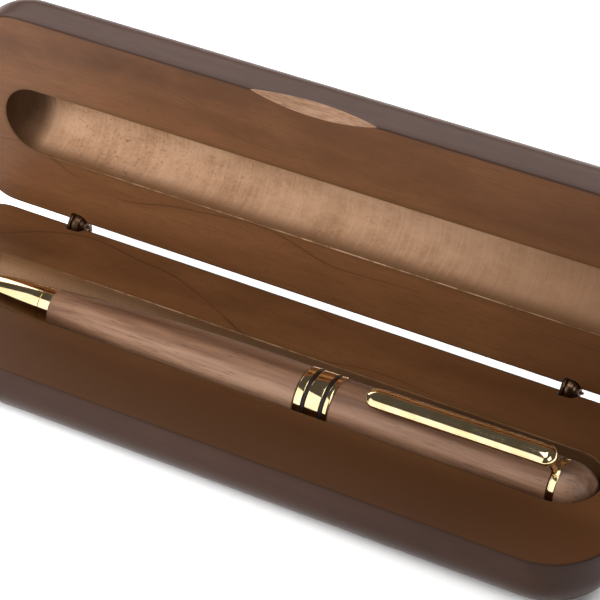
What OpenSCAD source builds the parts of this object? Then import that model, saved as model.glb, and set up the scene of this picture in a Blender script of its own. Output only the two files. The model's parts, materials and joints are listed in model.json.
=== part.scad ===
// A wooden clamshell case for one pen, open at a right angle, with a twist ballpoint lying in it.
// Millimetres. X runs along the case, Y to its rear, Z up. The origin is the middle of the base's underside.

/* [Case] */
// Length of the case
case_length = 166; // [150:1:190]
// Width of each half, from front wall to rear wall
case_width = 47; // [44:1:56]
// Height of each half
half_height = 13.5; // [13:0.5:18]
// Radius of the two front corners in plan
corner_radius = 14; // [10:1:20]
// Radius of the two corners on the hinge side in plan
rear_corner_radius = 9; // [8:0.5:14]
// Radius of the rounding round the outer edge
edge_radius = 7.8; // [3:0.1:9]
// Gap between each inner face and the plane where the halves meet
face_gap = 0.03; // [0.02:0.01:0.1]

/* [Pen groove] */
// Radius of the round bottom of the groove
groove_radius = 7.8; // [7.6:0.1:8.4]
// Depth of the groove below the inner face
groove_depth = 9.1; // [9.1:0.1:10.5]
// Length of the groove over its round ends
groove_length = 148.6; // [147:0.2:150]
// Distance from the rear wall to the middle of the groove
groove_from_rear = 22.5; // [20:0.5:25]

/* [Thumb notch] */
// Length of the scoop in the lid's front edge
notch_length = 28; // [16:1:40]
// Depth of the scoop along the face and along the wall
notch_depth = 2; // [1:0.1:3]

/* [Hinges] */
// Distance between the two hinges
hinge_spacing = 114.8; // [90:0.2:120]
// Distance from the rear walls back to the hinge axis
hinge_offset = 0.86; // [0.7:0.02:1]
// Radius of the knuckle's eyes
eye_radius = 2.45; // [2.2:0.05:2.5]
// Length of the stems driven into the wood
stem_length = 9; // [6:0.5:10]

/* [Pen] */
// Height of the pen's axis above the base's underside
pen_height = 10.75; // [10.7:0.05:11.5]
// Radius of the centre band
band_radius = 6.28; // [6:0.02:6.32]
// Radius of the wood at the nose cone
nose_end_radius = 4; // [3.9:0.05:4.4]
// Radius of the wood on both sides of the centre band
waist_radius = 5.95; // [5.6:0.05:6]
// Radius of the wood at the clip ring
cap_end_radius = 5.4; // [5.2:0.05:5.6]
// Radius of the brass tubes' outside
tube_radius = 3.5; // [3.5:0.05:3.6]
// Width of the clip
clip_width = 4.6; // [4:0.1:5]
// How far the pen is rolled forward, seen from the clip
clip_roll = 17; // [0:1:20]
// Travel of the refill when the pen is twisted
refill_travel = 3.2; // [2.6:0.1:3.4]

/* [Hidden] */

$fn = 96;
// How far a cutter reaches past the surface that it cuts
past = 1;

// The hinge axis
axis_y = case_width / 2 + hinge_offset;
axis_z = half_height + face_gap;
hinge_x = hinge_spacing / 2;

// The knuckle, from its peened end to the tip of its finial, measured from its own middle
peen = [-2.3, -2.15];
lid_eye = [-2.1, -1.3];
base_eye = [-1.25, 0];
pin_collar = [0, 0.12];
dome_height = 1.75;
dome_radius = 2.35;
nipple_length = 0.35;
nipple_radius = 0.45;
peen_radius = 1.2;
collar_radius = 1.6;
pin_radius = 0.8;
running_fit = 0.03;
knuckle_room = 0.2;
knuckle_end = pin_collar[1] + dome_height + nipple_length;
// The flat bars of the leaves, which lie on the rear walls
bar_thickness = 1.5;
bar_length = 4.6;
stem_radius = 0.7;
stem_drop = 3.6;
hole_fit = 0.02;
// The stop that the open lid's leaf comes down on
stop_x = [-2.1, 0];
stop_y = [2.6, 3.9];
stop_thickness = 0.8;
stop_clearance = 0.02;

// Stations along the pen
nose_tip_x = -70.7;
nose_line_x = -50.75;
nose_end_x = -48.05;
twist_x = 10.8;
band_x = [10.9, 18.6];
ring_centres = [13.15, 17.1];
clip_tip_x = 25.8;
cap_end_x = 65.1;
clip_plate_x = [65.1, 65.5];
clip_ring_x = [65.5, 66.75];
finial_x = [66.75, 73.4];
pen_y = case_width / 2 - groove_from_rear;

// Radii and lengths inside the pen
tube_wall = 0.3;
tube_bore = tube_radius - tube_wall;
nose_tip_radius = 1.25;
nose_bore = 0.75;
nose_cavity = 1.9;
nose_shoulder_radius = 3.75;
nose_sleeve_length = 6;
ring_width = 0.86;
ring_depth = 0.3;
refill_radius = 1.6;
tip_radius = 0.6;
carrier_radius = 2.2;
slide_fit = 0.05;
mechanism_bore = carrier_radius + slide_fit;
stem_end_x = 31;
spindle_radius = 1.1;
plug_length = 8;
plug_radius = 2.6;
finial_socket = 2.5;
finial_socket_radius = 1.5;
carrier_x = [-4, 3];
spindle_x = carrier_x[0] + 1;
mechanism_x = [carrier_x[0] - refill_travel - 1.8, twist_x];
point_recess = 0.8;
point_x = nose_tip_x + point_recess;
// Where the refill's tip starts to widen, reaches its width, and meets the tube
tip_steps = [8.5, 9.8, 11];
tip_root_radius = 1.3;
// The nose cone's bore widens just ahead of those steps at full travel
nose_steps = [for (s = tip_steps) point_x + s - refill_travel - 0.6];

// The clip, measured from the pen's axis: the bar's underside at its tip and at its bend, and its plate and tab
clip_bottom = [7.8, 8.7];
clip_thickness = 1.8;
clip_side_height = 0.7;
clip_bend_x = 64.1;
clip_neck_width = 2.8;
clip_foot_radius = 0.8;
clip_plate_radius = 5;
clip_tab_thickness = 0.35;

wood_dark = [0.36, 0.22, 0.14];
wood_pen = [0.47, 0.33, 0.24];
gold = [0.86, 0.68, 0.34];
bronze = [0.27, 0.18, 0.13];
brass = [0.78, 0.64, 0.36];
steel = [0.66, 0.67, 0.69];

// ---- Case ----

// A wall's section from a centre line outward, with its lower outer edge rounded
module wall_section(reach) {
    translate([0, edge_radius])
        square([reach, half_height - edge_radius]);
    square([reach - edge_radius, half_height]);
    intersection() {
        translate([reach - edge_radius, edge_radius])
            circle(edge_radius);
        translate([reach - edge_radius, 0])
            square(edge_radius);
    }
}

// A solid half with its inner face up
module rounded_block() {
    block_side(rear_corner_radius);
    mirror([0, 1, 0])
        block_side(corner_radius);
}

// The side of a half with y above 0: a middle prism, two end prisms and two turned corners
module block_side(radius) {
    straight_x = case_length / 2 - radius;
    straight_y = case_width / 2 - radius;
    translate([-straight_x, 0, 0])
        rotate([90, 0, 90])
            linear_extrude(2 * straight_x)
                wall_section(case_width / 2);
    for (end = [0, 1])
        mirror([end, 0, 0])
            translate([straight_x, straight_y, 0]) {
                rotate([90, 0, 0])
                    linear_extrude(straight_y)
                        wall_section(radius);
                rotate_extrude(angle = 90)
                    wall_section(radius);
            }
}

// The round-bottomed, round-ended groove
module groove_cutter() {
    half_run = groove_length / 2 - groove_radius;
    translate([0, pen_y, half_height - groove_depth + groove_radius]) {
        rotate([0, 90, 0])
            cylinder(r = groove_radius, h = 2 * half_run, center = true);
        for (end = [-1, 1])
            translate([end * half_run, 0, 0])
                sphere(groove_radius);
    }
}

// Room for the knuckles in the rear edge, and the holes for the leaves' stems
module hinge_cuts(eye) {
    for (side = [-1, 1])
        translate([side * hinge_x, axis_y, axis_z]) {
            translate([peen[0] - knuckle_room, 0, 0])
                rotate([0, 90, 0])
                    cylinder(r = eye_radius + knuckle_room, h = knuckle_end - peen[0] + 2 * knuckle_room);
            translate([(eye[0] + eye[1]) / 2, past - hinge_offset, -stem_drop])
                rotate([90, 0, 0])
                    cylinder(r = stem_radius + hole_fit, h = stem_length + past);
        }
}

// A half that lies open side up
module grooved_half(eye) {
    difference() {
        rounded_block();
        groove_cutter();
        hinge_cuts(eye);
    }
}

// Carries a shape from the closed lid to the lid standing open
module stand_open() {
    translate([0, axis_y, axis_z])
        rotate([-90, 0, 0])
            translate([0, -axis_y, -axis_z])
                children();
}

// Carries a shape on the base across the plane where the halves meet
module mirror_to_lid() {
    translate([0, 0, 2 * axis_z])
        mirror([0, 0, 1])
            children();
}

// The scoop for a thumb: a large drum laid at 45 degrees across the front edge
module notch_cutter() {
    depth = notch_depth / sqrt(2);
    drum = (pow(notch_length / 2, 2) + depth * depth) / (2 * depth);
    translate([0, -case_width / 2, half_height])
        rotate([45, 0, 0])
            translate([0, 0, drum - depth])
                rotate([90, 0, 0])
                    cylinder(r = drum, h = 6 * notch_depth, center = true, $fn = 360);
}

module base_half() {
    color(wood_dark)
        grooved_half(base_eye);
}

module lid_half() {
    color(wood_dark)
        stand_open()
            mirror_to_lid()
                difference() {
                    grooved_half(lid_eye);
                    notch_cutter();
                }
}

// ---- Hinges ----

// An eye with a flat bar on the rear wall and a stem into the wood below the inner face
module leaf(eye, radius, bore) {
    width = eye[1] - eye[0];
    difference() {
        union() {
            translate([eye[0], 0, 0])
                rotate([0, 90, 0])
                    cylinder(r = radius, h = width);
            translate([eye[0], -hinge_offset, -bar_length])
                cube([width, bar_thickness, bar_length]);
            translate([eye[0] + width / 2, 0.5 - hinge_offset, -stem_drop])
                rotate([90, 0, 0])
                    cylinder(r = stem_radius, h = stem_length);
        }
        translate([eye[0] - past, 0, 0])
            rotate([0, 90, 0])
                cylinder(r = bore, h = width + 2 * past);
    }
}

// The hook behind the base's leaf that stops the lid at a right angle
module stop_hook() {
    shelf_z = hinge_offset - bar_thickness - stop_clearance;
    low = -bar_length + 0.4;
    translate([base_eye[0], 0, low])
        cube([base_eye[1] - base_eye[0], stop_y[1], stop_thickness]);
    translate([stop_x[0], stop_y[1] - stop_thickness, low])
        cube([stop_x[1] - stop_x[0], stop_thickness, shelf_z - low]);
    translate([stop_x[0], stop_y[0], shelf_z - stop_thickness])
        cube([stop_x[1] - stop_x[0], stop_y[1] - stop_y[0], stop_thickness]);
}

module base_leaf(side) {
    color(bronze)
        translate([side * hinge_x, axis_y, axis_z]) {
            leaf(base_eye, eye_radius, pin_radius);
            stop_hook();
        }
}

module lid_leaf(side) {
    color(bronze)
        stand_open()
            mirror_to_lid()
                translate([side * hinge_x, axis_y, axis_z])
                    leaf(lid_eye, eye_radius, pin_radius + running_fit);
}

// The rivet: peened end, shank, collar, dome and nipple
module hinge_pin(side) {
    dome_sphere = (dome_radius * dome_radius + dome_height * dome_height) / (2 * dome_height);
    color(bronze)
        translate([side * hinge_x, axis_y, axis_z])
            rotate([0, 90, 0]) {
                translate([0, 0, peen[0]])
                    cylinder(r = peen_radius, h = peen[1] - peen[0]);
                translate([0, 0, peen[0]])
                    cylinder(r = pin_radius, h = pin_collar[1] - peen[0]);
                translate([0, 0, pin_collar[0]])
                    cylinder(r = collar_radius, h = pin_collar[1] - pin_collar[0]);
                translate([0, 0, pin_collar[1]])
                    intersection() {
                        translate([0, 0, dome_height - dome_sphere])
                            sphere(dome_sphere);
                        cylinder(r = 2 * dome_radius, h = dome_height);
                    }
                translate([0, 0, pin_collar[1] + dome_height / 2])
                    cylinder(r = nipple_radius, h = dome_height / 2 + nipple_length);
            }
}

// ---- Pen ----

// Turns a section drawn as [along the pen, radius] about the pen's axis
module on_pen_axis() {
    translate([0, pen_y, pen_height])
        rotate([0, 90, 0])
            children();
}

module turned(outline) {
    on_pen_axis()
        rotate_extrude()
            polygon([for (p = outline) [p[1], p[0]]]);
}

module ring(x, outer, inner) {
    turned([[x[0], inner], [x[0], outer], [x[1], outer], [x[1], inner]]);
}

barrel_steps = 12;

// The lower barrel swells quickly and then levels out towards the band
module lower_barrel() {
    swell = 2.2;
    last_x = twist_x - 0.05;
    color(wood_pen)
        turned(concat(
            [for (i = [0:barrel_steps]) let (t = i / barrel_steps) [
                nose_end_x + t * (last_x - nose_end_x),
                nose_end_radius + (waist_radius - nose_end_radius) * (1 - pow(1 - t, swell))
            ]],
            [[last_x, tube_radius], [nose_end_x, tube_radius]]
        ));
}

module lower_tube() {
    color(brass)
        ring([nose_end_x, twist_x - 0.05], tube_radius, tube_bore);
}

module nose_cone() {
    cone_steps = 8;
    fullness = 1.7;
    color(gold)
        turned(concat(
            [[nose_tip_x, nose_bore]],
            [for (i = [0:cone_steps]) let (t = i / cone_steps) [
                nose_tip_x + t * (nose_line_x - nose_tip_x),
                nose_tip_radius + (nose_shoulder_radius - nose_tip_radius) * (1 - pow(1 - t, fullness))
            ]],
            [
                [nose_line_x, nose_shoulder_radius - 0.15],
                [nose_line_x + 0.25, nose_shoulder_radius - 0.15],
                [nose_line_x + 0.25, nose_shoulder_radius],
                [nose_end_x, nose_shoulder_radius],
                [nose_end_x, tube_bore],
                [nose_end_x + nose_sleeve_length, tube_bore],
                [nose_end_x + nose_sleeve_length, nose_cavity],
                [nose_steps[2], nose_cavity],
                [nose_steps[1], tip_root_radius + 0.2],
                [nose_steps[0], nose_bore]
            ]
        ));
}

// The sleeve of the twist mechanism, pressed into the lower tube
module mechanism_body() {
    color(steel)
        difference() {
            ring(mechanism_x, tube_bore, mechanism_bore);
            on_pen_axis()
                translate([0, 0, mechanism_x[1] - 1])
                    cylinder(r = mechanism_bore + 0.3, h = past + 1);
        }
}

// The turning half of the twist mechanism: a spindle in the sleeve, and a drum in the upper tube
module mechanism_stem() {
    color(steel) {
        ring([band_x[0], stem_end_x], tube_bore, 1.6);
        turned([
            [twist_x - 0.9, 0],
            [twist_x - 0.9, mechanism_bore],
            [band_x[0] + 0.5, mechanism_bore],
            [band_x[0] + 0.5, 0]
        ]);
        turned([[spindle_x, 0], [spindle_x, spindle_radius], [band_x[0], spindle_radius], [band_x[0], 0]]);
    }
}

// The carrier that the spindle drives, with the refill screwed into it
module refill_carrier() {
    color(steel)
        ring(carrier_x, carrier_radius, spindle_radius + slide_fit);
}

module refill_tube() {
    color([0.16, 0.17, 0.2])
        turned([
            [point_x + tip_steps[2], 0],
            [point_x + tip_steps[2], refill_radius],
            [carrier_x[0], refill_radius],
            [carrier_x[0], 0]
        ]);
}

module refill_tip() {
    color(brass)
        turned([
            [point_x, 0],
            [point_x, 0.25],
            [point_x + 1.4, tip_radius],
            [point_x + tip_steps[0], tip_radius],
            [point_x + tip_steps[1], tip_root_radius],
            [point_x + tip_steps[2], tip_root_radius],
            [point_x + tip_steps[2], 0]
        ]);
}

// The band is a tube over the upper barrel's tenon with two grooves for the black rings
module centre_band() {
    edge = 0.25;
    color(gold)
        difference() {
            turned([
                [band_x[0], tube_radius],
                [band_x[0], band_radius - edge],
                [band_x[0] + edge, band_radius],
                [band_x[1] - edge, band_radius],
                [band_x[1], band_radius - edge],
                [band_x[1], tube_radius]
            ]);
            for (x = ring_centres)
                ring([x - ring_width / 2, x + ring_width / 2], band_radius + past, band_radius - ring_depth);
        }
}

module band_rings() {
    color([0.06, 0.05, 0.05])
        for (x = ring_centres)
            ring([x - ring_width / 2, x + ring_width / 2], band_radius - 0.05, band_radius - ring_depth);
}

module upper_barrel() {
    droop = 1.8;
    color(wood_pen)
        turned(concat(
            [for (i = [0:barrel_steps]) let (t = i / barrel_steps) [
                band_x[1] + t * (cap_end_x - band_x[1]),
                waist_radius - (waist_radius - cap_end_radius) * pow(t, droop)
            ]],
            [[cap_end_x, tube_radius], [band_x[1], tube_radius]]
        ));
}

module upper_tube() {
    color(brass)
        ring([band_x[0], cap_end_x], tube_radius, tube_bore);
}

// The crowned bar of the clip, drawn back from its bend, with a round end
module clip_bar() {
    reach = clip_bend_x - clip_tip_x;
    slant = asin((clip_bottom[1] - clip_bottom[0]) / reach);
    end_radius = clip_width / 2;
    crown_height = clip_thickness - clip_side_height;
    crown = (end_radius * end_radius + crown_height * crown_height) / (2 * crown_height);
    translate([clip_bend_x, 0, clip_bottom[1]])
        rotate([0, -slant, 0])
            intersection() {
                rotate([90, 0, -90])
                    linear_extrude(reach)
                        intersection() {
                            translate([-end_radius, 0])
                                square([clip_width, clip_thickness]);
                            translate([0, clip_thickness - crown])
                                circle(crown);
                        }
                translate([0, 0, -past])
                    linear_extrude(clip_thickness + 2 * past) {
                        translate([end_radius - reach, 0])
                            circle(end_radius);
                        translate([end_radius - reach, -end_radius])
                            square([reach, clip_width]);
                    }
            }
}

// The bend at the bar's end, which runs down to the plate and the tab
module clip_neck() {
    top = clip_bottom[1] + clip_thickness;
    low = cap_end_radius + 0.1;
    translate([0, clip_neck_width / 2, 0])
        rotate([90, 0, 0])
            linear_extrude(clip_neck_width)
                polygon([
                    [clip_bend_x - 0.3, clip_bottom[1] + 0.1],
                    [clip_bend_x - 0.3, top - 0.3],
                    [clip_bend_x + 0.4, top - 0.3],
                    [clip_bend_x + 1.3, top - 1.1],
                    [clip_ring_x[1] - 0.5, top - 2.4],
                    [clip_ring_x[1] - 0.3, low],
                    [clip_plate_x[1], low],
                    [clip_plate_x[1], 3],
                    [clip_plate_x[0], 3],
                    [clip_plate_x[0], low + 0.7]
                ]);
}

// The narrow tab that laps over the clip ring
module clip_tab() {
    reach = clip_ring_x[1] - 0.1 - clip_plate_x[0];
    intersection() {
        rotate([0, 90, 0])
            rotate_extrude()
                translate([cap_end_radius + slide_fit, clip_plate_x[0]])
                    square([clip_tab_thickness, reach]);
        translate([0, -clip_neck_width / 2, 0])
            cube([2 * clip_ring_x[1], clip_neck_width, 10]);
    }
}

// A spring clip: a bar with a foot on the barrel, bent down to a plate under the clip ring
module clip() {
    color(gold)
        translate([0, pen_y, pen_height])
            rotate([clip_roll, 0, 0]) {
                clip_bar();
                clip_neck();
                clip_tab();
                translate([clip_tip_x + clip_width / 2, 0, waist_radius + 0.05])
                    cylinder(r = clip_foot_radius, h = clip_bottom[0] + 0.5 - waist_radius);
                rotate([0, 90, 0])
                    translate([0, 0, clip_plate_x[0]])
                        difference() {
                            cylinder(r = clip_plate_radius, h = clip_plate_x[1] - clip_plate_x[0]);
                            translate([0, 0, -past])
                                cylinder(r = plug_radius, h = 2 * past + 1);
                        }
            }
}

module clip_ring() {
    color(gold)
        ring(clip_ring_x, cap_end_radius, plug_radius);
}

// The wooden end of the pen, a full dome with a socket for its plug
module finial() {
    dome_steps = 14;
    fullness = 2.2;
    radius = cap_end_radius - 0.05;
    socket = finial_x[0] + finial_socket;
    color(wood_pen)
        turned(concat(
            [for (i = [0:dome_steps]) let (t = sin(90 * i / dome_steps)) [
                finial_x[0] + t * (finial_x[1] - finial_x[0]),
                i == dome_steps ? 0 : radius * pow(1 - pow(t, fullness), 1 / fullness)
            ]],
            [[socket, 0], [socket, finial_socket_radius], [finial_x[0], finial_socket_radius]]
        ));
}

// The plug that holds the clip and the finial on the upper tube
module finial_plug() {
    plug_end = cap_end_x - 1.5;
    socket = finial_x[0] + finial_socket;
    color(brass) {
        ring([cap_end_x - plug_length, cap_end_x], tube_bore, 1);
        turned([
            [plug_end, 0],
            [plug_end, plug_radius],
            [finial_x[0], plug_radius],
            [finial_x[0], finial_socket_radius],
            [socket, finial_socket_radius],
            [socket, 0]
        ]);
    }
}

base_half();
base_leaf(-1);  // left_base_leaf
base_leaf(1);  // right_base_leaf
hinge_pin(-1);  // left_hinge_pin
hinge_pin(1);  // right_hinge_pin
lid_half();
lid_leaf(-1);  // left_lid_leaf
lid_leaf(1);  // right_lid_leaf
upper_barrel();
upper_tube();
mechanism_stem();
centre_band();
band_rings();
clip();
clip_ring();
finial();
finial_plug();
lower_barrel();
lower_tube();
nose_cone();
mechanism_body();
refill_carrier();
refill_tube();
refill_tip();
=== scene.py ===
"""A wooden pen case standing open on a pale floor, with a twist ballpoint lying in its groove."""

import json
import math
from types import SimpleNamespace

import bmesh
import bpy
from mathutils import Matrix, Vector


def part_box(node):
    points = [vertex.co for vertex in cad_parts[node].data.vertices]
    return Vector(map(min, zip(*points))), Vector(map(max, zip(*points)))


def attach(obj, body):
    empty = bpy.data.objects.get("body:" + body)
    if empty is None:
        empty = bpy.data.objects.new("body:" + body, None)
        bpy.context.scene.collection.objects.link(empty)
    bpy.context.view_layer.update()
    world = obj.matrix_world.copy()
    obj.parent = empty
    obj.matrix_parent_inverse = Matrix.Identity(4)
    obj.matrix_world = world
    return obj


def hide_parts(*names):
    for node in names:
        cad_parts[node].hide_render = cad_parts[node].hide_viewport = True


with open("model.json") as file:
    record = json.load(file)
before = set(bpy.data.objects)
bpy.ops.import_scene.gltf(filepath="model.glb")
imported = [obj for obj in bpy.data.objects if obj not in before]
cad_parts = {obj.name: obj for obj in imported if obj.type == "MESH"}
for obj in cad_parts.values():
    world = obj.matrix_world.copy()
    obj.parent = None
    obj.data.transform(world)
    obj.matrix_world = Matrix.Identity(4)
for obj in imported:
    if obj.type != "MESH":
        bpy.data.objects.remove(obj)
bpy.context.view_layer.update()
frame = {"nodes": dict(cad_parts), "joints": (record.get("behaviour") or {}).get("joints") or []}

MM = 0.001
SMOOTH_ANGLE = math.radians(32)
WELD_DISTANCE = 0.002 * MM

# ---- Places that come from the frame ----

base_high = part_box("base_half")[1]
HALF_LENGTH = base_high.x
HALF_WIDTH = base_high.y
FACE_Z = base_high.z
joints = {joint["name"]: joint for joint in frame["joints"]}
HINGE_Y, HINGE_Z = joints["lid_hinge"]["pos_m"][1:]
PEN_Y, PEN_Z = joints["pen_twist"]["pos_m"][1:]
left_pin_low, left_pin_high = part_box("left_hinge_pin")
right_pin_low, right_pin_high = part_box("right_hinge_pin")
band_low, band_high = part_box("centre_band")
ring_low, ring_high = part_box("clip_ring")
cone_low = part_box("nose_cone")[0]
lower_low, lower_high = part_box("lower_barrel")
upper_low, upper_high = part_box("upper_barrel")
finial_low, finial_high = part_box("finial")
clip_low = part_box("clip")[0]

# ---- Sizes of the case, as in the CAD ----

CORNER_RADIUS = 14 * MM
REAR_CORNER_RADIUS = 9 * MM
EDGE_RADIUS = 7.8 * MM
GROOVE_RADIUS = 7.8 * MM
GROOVE_DEPTH = 9.1 * MM
GROOVE_LENGTH = 148.6 * MM
GROOVE_CENTRE_Z = FACE_Z - GROOVE_DEPTH + GROOVE_RADIUS
GROOVE_HALF_RUN = GROOVE_LENGTH / 2 - GROOVE_RADIUS
NOTCH_LENGTH = 28 * MM
NOTCH_DEPTH = 2 * MM
FACE_BEVEL = 0.22 * MM
RIM_BEVEL = 0.16 * MM
KNUCKLE_GAP = 0.12 * MM

# ---- Sizes of the hinges, measured from the hinge axis ----

EYE_RADIUS = 2.45 * MM
EYE_ROUNDING = 0.5 * MM
LID_EYE = (-2.1 * MM, -1.3 * MM)
BASE_EYE = (-1.25 * MM, 0.0)
HINGE_OFFSET = 0.86 * MM
HINGE_PIN_LEFT = 2.3 * MM
DOME_RADIUS = 2.34 * MM
DOME_HEIGHT = 1.9 * MM
BAR_THICKNESS = 1.5 * MM
BAR_LENGTH = 4.6 * MM
STEM_RADIUS = 0.7 * MM
STEM_DROP = 3.6 * MM
STEM_LENGTH = 9 * MM
STOP_X = (-2.1 * MM, -0.02 * MM)
STOP_Y = (2.6 * MM, 3.9 * MM)
STOP_THICKNESS = 0.8 * MM
STOP_SHELF_Z = HINGE_OFFSET - BAR_THICKNESS - 0.02 * MM

# ---- Sizes of the pen ----

TUBE_RADIUS = 3.5 * MM
NOSE_LINE_X = -50.75 * MM
NOSE_END_X = -48.05 * MM
NOSE_RADIUS = 3.75 * MM
NOSE_TIP_RADIUS = 1.25 * MM
NOSE_BORE = 0.75 * MM
LOWER_START_RADIUS = 4 * MM
WAIST_RADIUS = 5.95 * MM
CAP_END_RADIUS = 5.4 * MM
RING_CENTRES = (13.15 * MM, 17.1 * MM)
RING_WIDTH = 0.86 * MM
RING_DEPTH = 0.3 * MM
CLIP_ROLL = math.radians(17)
CLIP_WIDTH = 4.6 * MM
CLIP_THICKNESS = 1.8 * MM
CLIP_BOTTOM = (7.8 * MM, 8.7 * MM)
CLIP_BEND_X = 64.1 * MM
CLIP_BEND_RADIUS = 0.55 * MM
CLIP_NECK_WIDTH = 2.8 * MM
CLIP_TAB_THICKNESS = 0.35 * MM


# ---- Mesh helpers ----

def mesh_object(name, verts, faces):
    """An object in the scene, made from points and faces."""
    mesh = bpy.data.meshes.new(name)
    mesh.from_pydata([tuple(v) for v in verts], [], faces)
    mesh.validate()
    piece = bpy.data.objects.new(name, mesh)
    bpy.context.scene.collection.objects.link(piece)
    return piece


def tidy_mesh(piece):
    """Welds, points the normals outward, and shades smooth between the sharp edges."""
    mesh = piece.data
    bm = bmesh.new()
    bm.from_mesh(mesh)
    bmesh.ops.remove_doubles(bm, verts=bm.verts, dist=WELD_DISTANCE)
    bmesh.ops.dissolve_degenerate(bm, edges=bm.edges, dist=WELD_DISTANCE / 2)
    bmesh.ops.recalc_face_normals(bm, faces=bm.faces)
    for face in bm.faces:
        face.smooth = True
    bm.to_mesh(mesh)
    bm.free()
    mesh.set_sharp_from_angle(angle=SMOOTH_ANGLE)


def bridge(rings, close_first=False, close_last=False, loop=False):
    """Quads between equal rings of points; a closed end gets one cap, and a loop joins last to first."""
    count = len(rings[0])
    verts = [p for ring in rings for p in ring]
    faces = []
    for i in range(len(rings) if loop else len(rings) - 1):
        here = i * count
        there = (i + 1) % len(rings) * count
        for j in range(count):
            k = (j + 1) % count
            faces.append((here + j, here + k, there + k, there + j))
    if close_first:
        faces.append(tuple(range(count - 1, -1, -1)))
    if close_last:
        start = (len(rings) - 1) * count
        faces.append(tuple(range(start, start + count)))
    return verts, faces


def arc(centre, radius, start, end, steps):
    """Points on an arc in a section plane; angles in degrees."""
    out = []
    for i in range(steps + 1):
        a = math.radians(start + (end - start) * i / steps)
        out.append((centre[0] + radius * math.cos(a), centre[1] + radius * math.sin(a)))
    return out


def lathe(name, outline, y=PEN_Y, z=PEN_Z, steps=96, loop=False):
    """Turns [along x, radius] points about an axis parallel to X; a loop is a section such as a tube's."""
    rings = []
    for x, r in outline:
        ring = []
        for i in range(steps):
            a = 2 * math.pi * i / steps
            ring.append((x, y + r * math.sin(a), z + r * math.cos(a)))
        rings.append(ring)
    piece = mesh_object(name, *bridge(rings, loop=loop))
    tidy_mesh(piece)
    return piece


def softened(outline, radius, steps=3, loop=False):
    """The outline with its corners rounded, as a turned or pressed edge is."""
    count = len(outline)
    out = []
    for i in range(count):
        if not loop and i in (0, count - 1):
            out.append(outline[i])
            continue
        p = Vector(outline[i])
        a = Vector(outline[i - 1]) - p
        b = Vector(outline[(i + 1) % count]) - p
        if a.angle(b) > math.radians(160):
            out.append(tuple(p))
            continue
        cut = min(radius, a.length * 0.45, b.length * 0.45)
        start = p + a.normalized() * cut
        end = p + b.normalized() * cut
        for k in range(steps + 1):
            t = k / steps
            out.append(tuple(start * (1 - t) ** 2 + p * 2 * t * (1 - t) + end * t * t))
    return out


def block(name, low, high, bevel):
    """A box with softened edges."""
    bm = bmesh.new()
    bmesh.ops.create_cube(bm, size=1.0)
    for vert in bm.verts:
        for i in range(3):
            vert.co[i] = low[i] if vert.co[i] < 0 else high[i]
    bmesh.ops.bevel(bm, geom=list(bm.edges), offset=bevel, segments=3, profile=0.5, affect="EDGES")
    mesh = bpy.data.meshes.new(name)
    bm.to_mesh(mesh)
    bm.free()
    piece = bpy.data.objects.new(name, mesh)
    bpy.context.scene.collection.objects.link(piece)
    tidy_mesh(piece)
    return piece


def tube_along(name, start, end, radius, steps=32):
    """A round bar between two points, with softened ends."""
    start, end = Vector(start), Vector(end)
    way = (end - start).normalized()
    side = way.orthogonal().normalized()
    other = way.cross(side)
    soft = radius * 0.25
    length = (end - start).length
    rings = []
    for along, r in ((0, radius - soft), (soft, radius), (length - soft, radius), (length, radius - soft)):
        ring = []
        for i in range(steps):
            a = 2 * math.pi * i / steps
            ring.append(start + way * along + side * r * math.cos(a) + other * r * math.sin(a))
        rings.append(ring)
    piece = mesh_object(name, *bridge(rings, True, True))
    tidy_mesh(piece)
    return piece


def combine(piece, others, operation):
    """Adds the other pieces to this one (UNION) or takes them away (DIFFERENCE), and removes them."""
    for other in others:
        step = piece.modifiers.new("combine", "BOOLEAN")
        step.operation = operation
        step.solver = "EXACT"
        step.object = other
    shape = piece.evaluated_get(bpy.context.evaluated_depsgraph_get())
    old = piece.data
    mesh = bpy.data.meshes.new_from_object(shape)
    piece.modifiers.clear()
    piece.data = mesh
    bpy.data.meshes.remove(old)
    for other in others:
        bpy.data.objects.remove(other, do_unlink=True)
    for poly in mesh.polygons:
        poly.use_smooth = True
    mesh.set_sharp_from_angle(angle=SMOOTH_ANGLE)


def keep(piece, body, nodes=(), material=None):
    """Gives a piece its material, its body and the CAD nodes that it stands for."""
    if material is not None:
        piece.data.materials.clear()
        piece.data.materials.append(material)
    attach(piece, body)
    if nodes:
        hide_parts(*nodes)


# ---- Shader helpers ----

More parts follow.
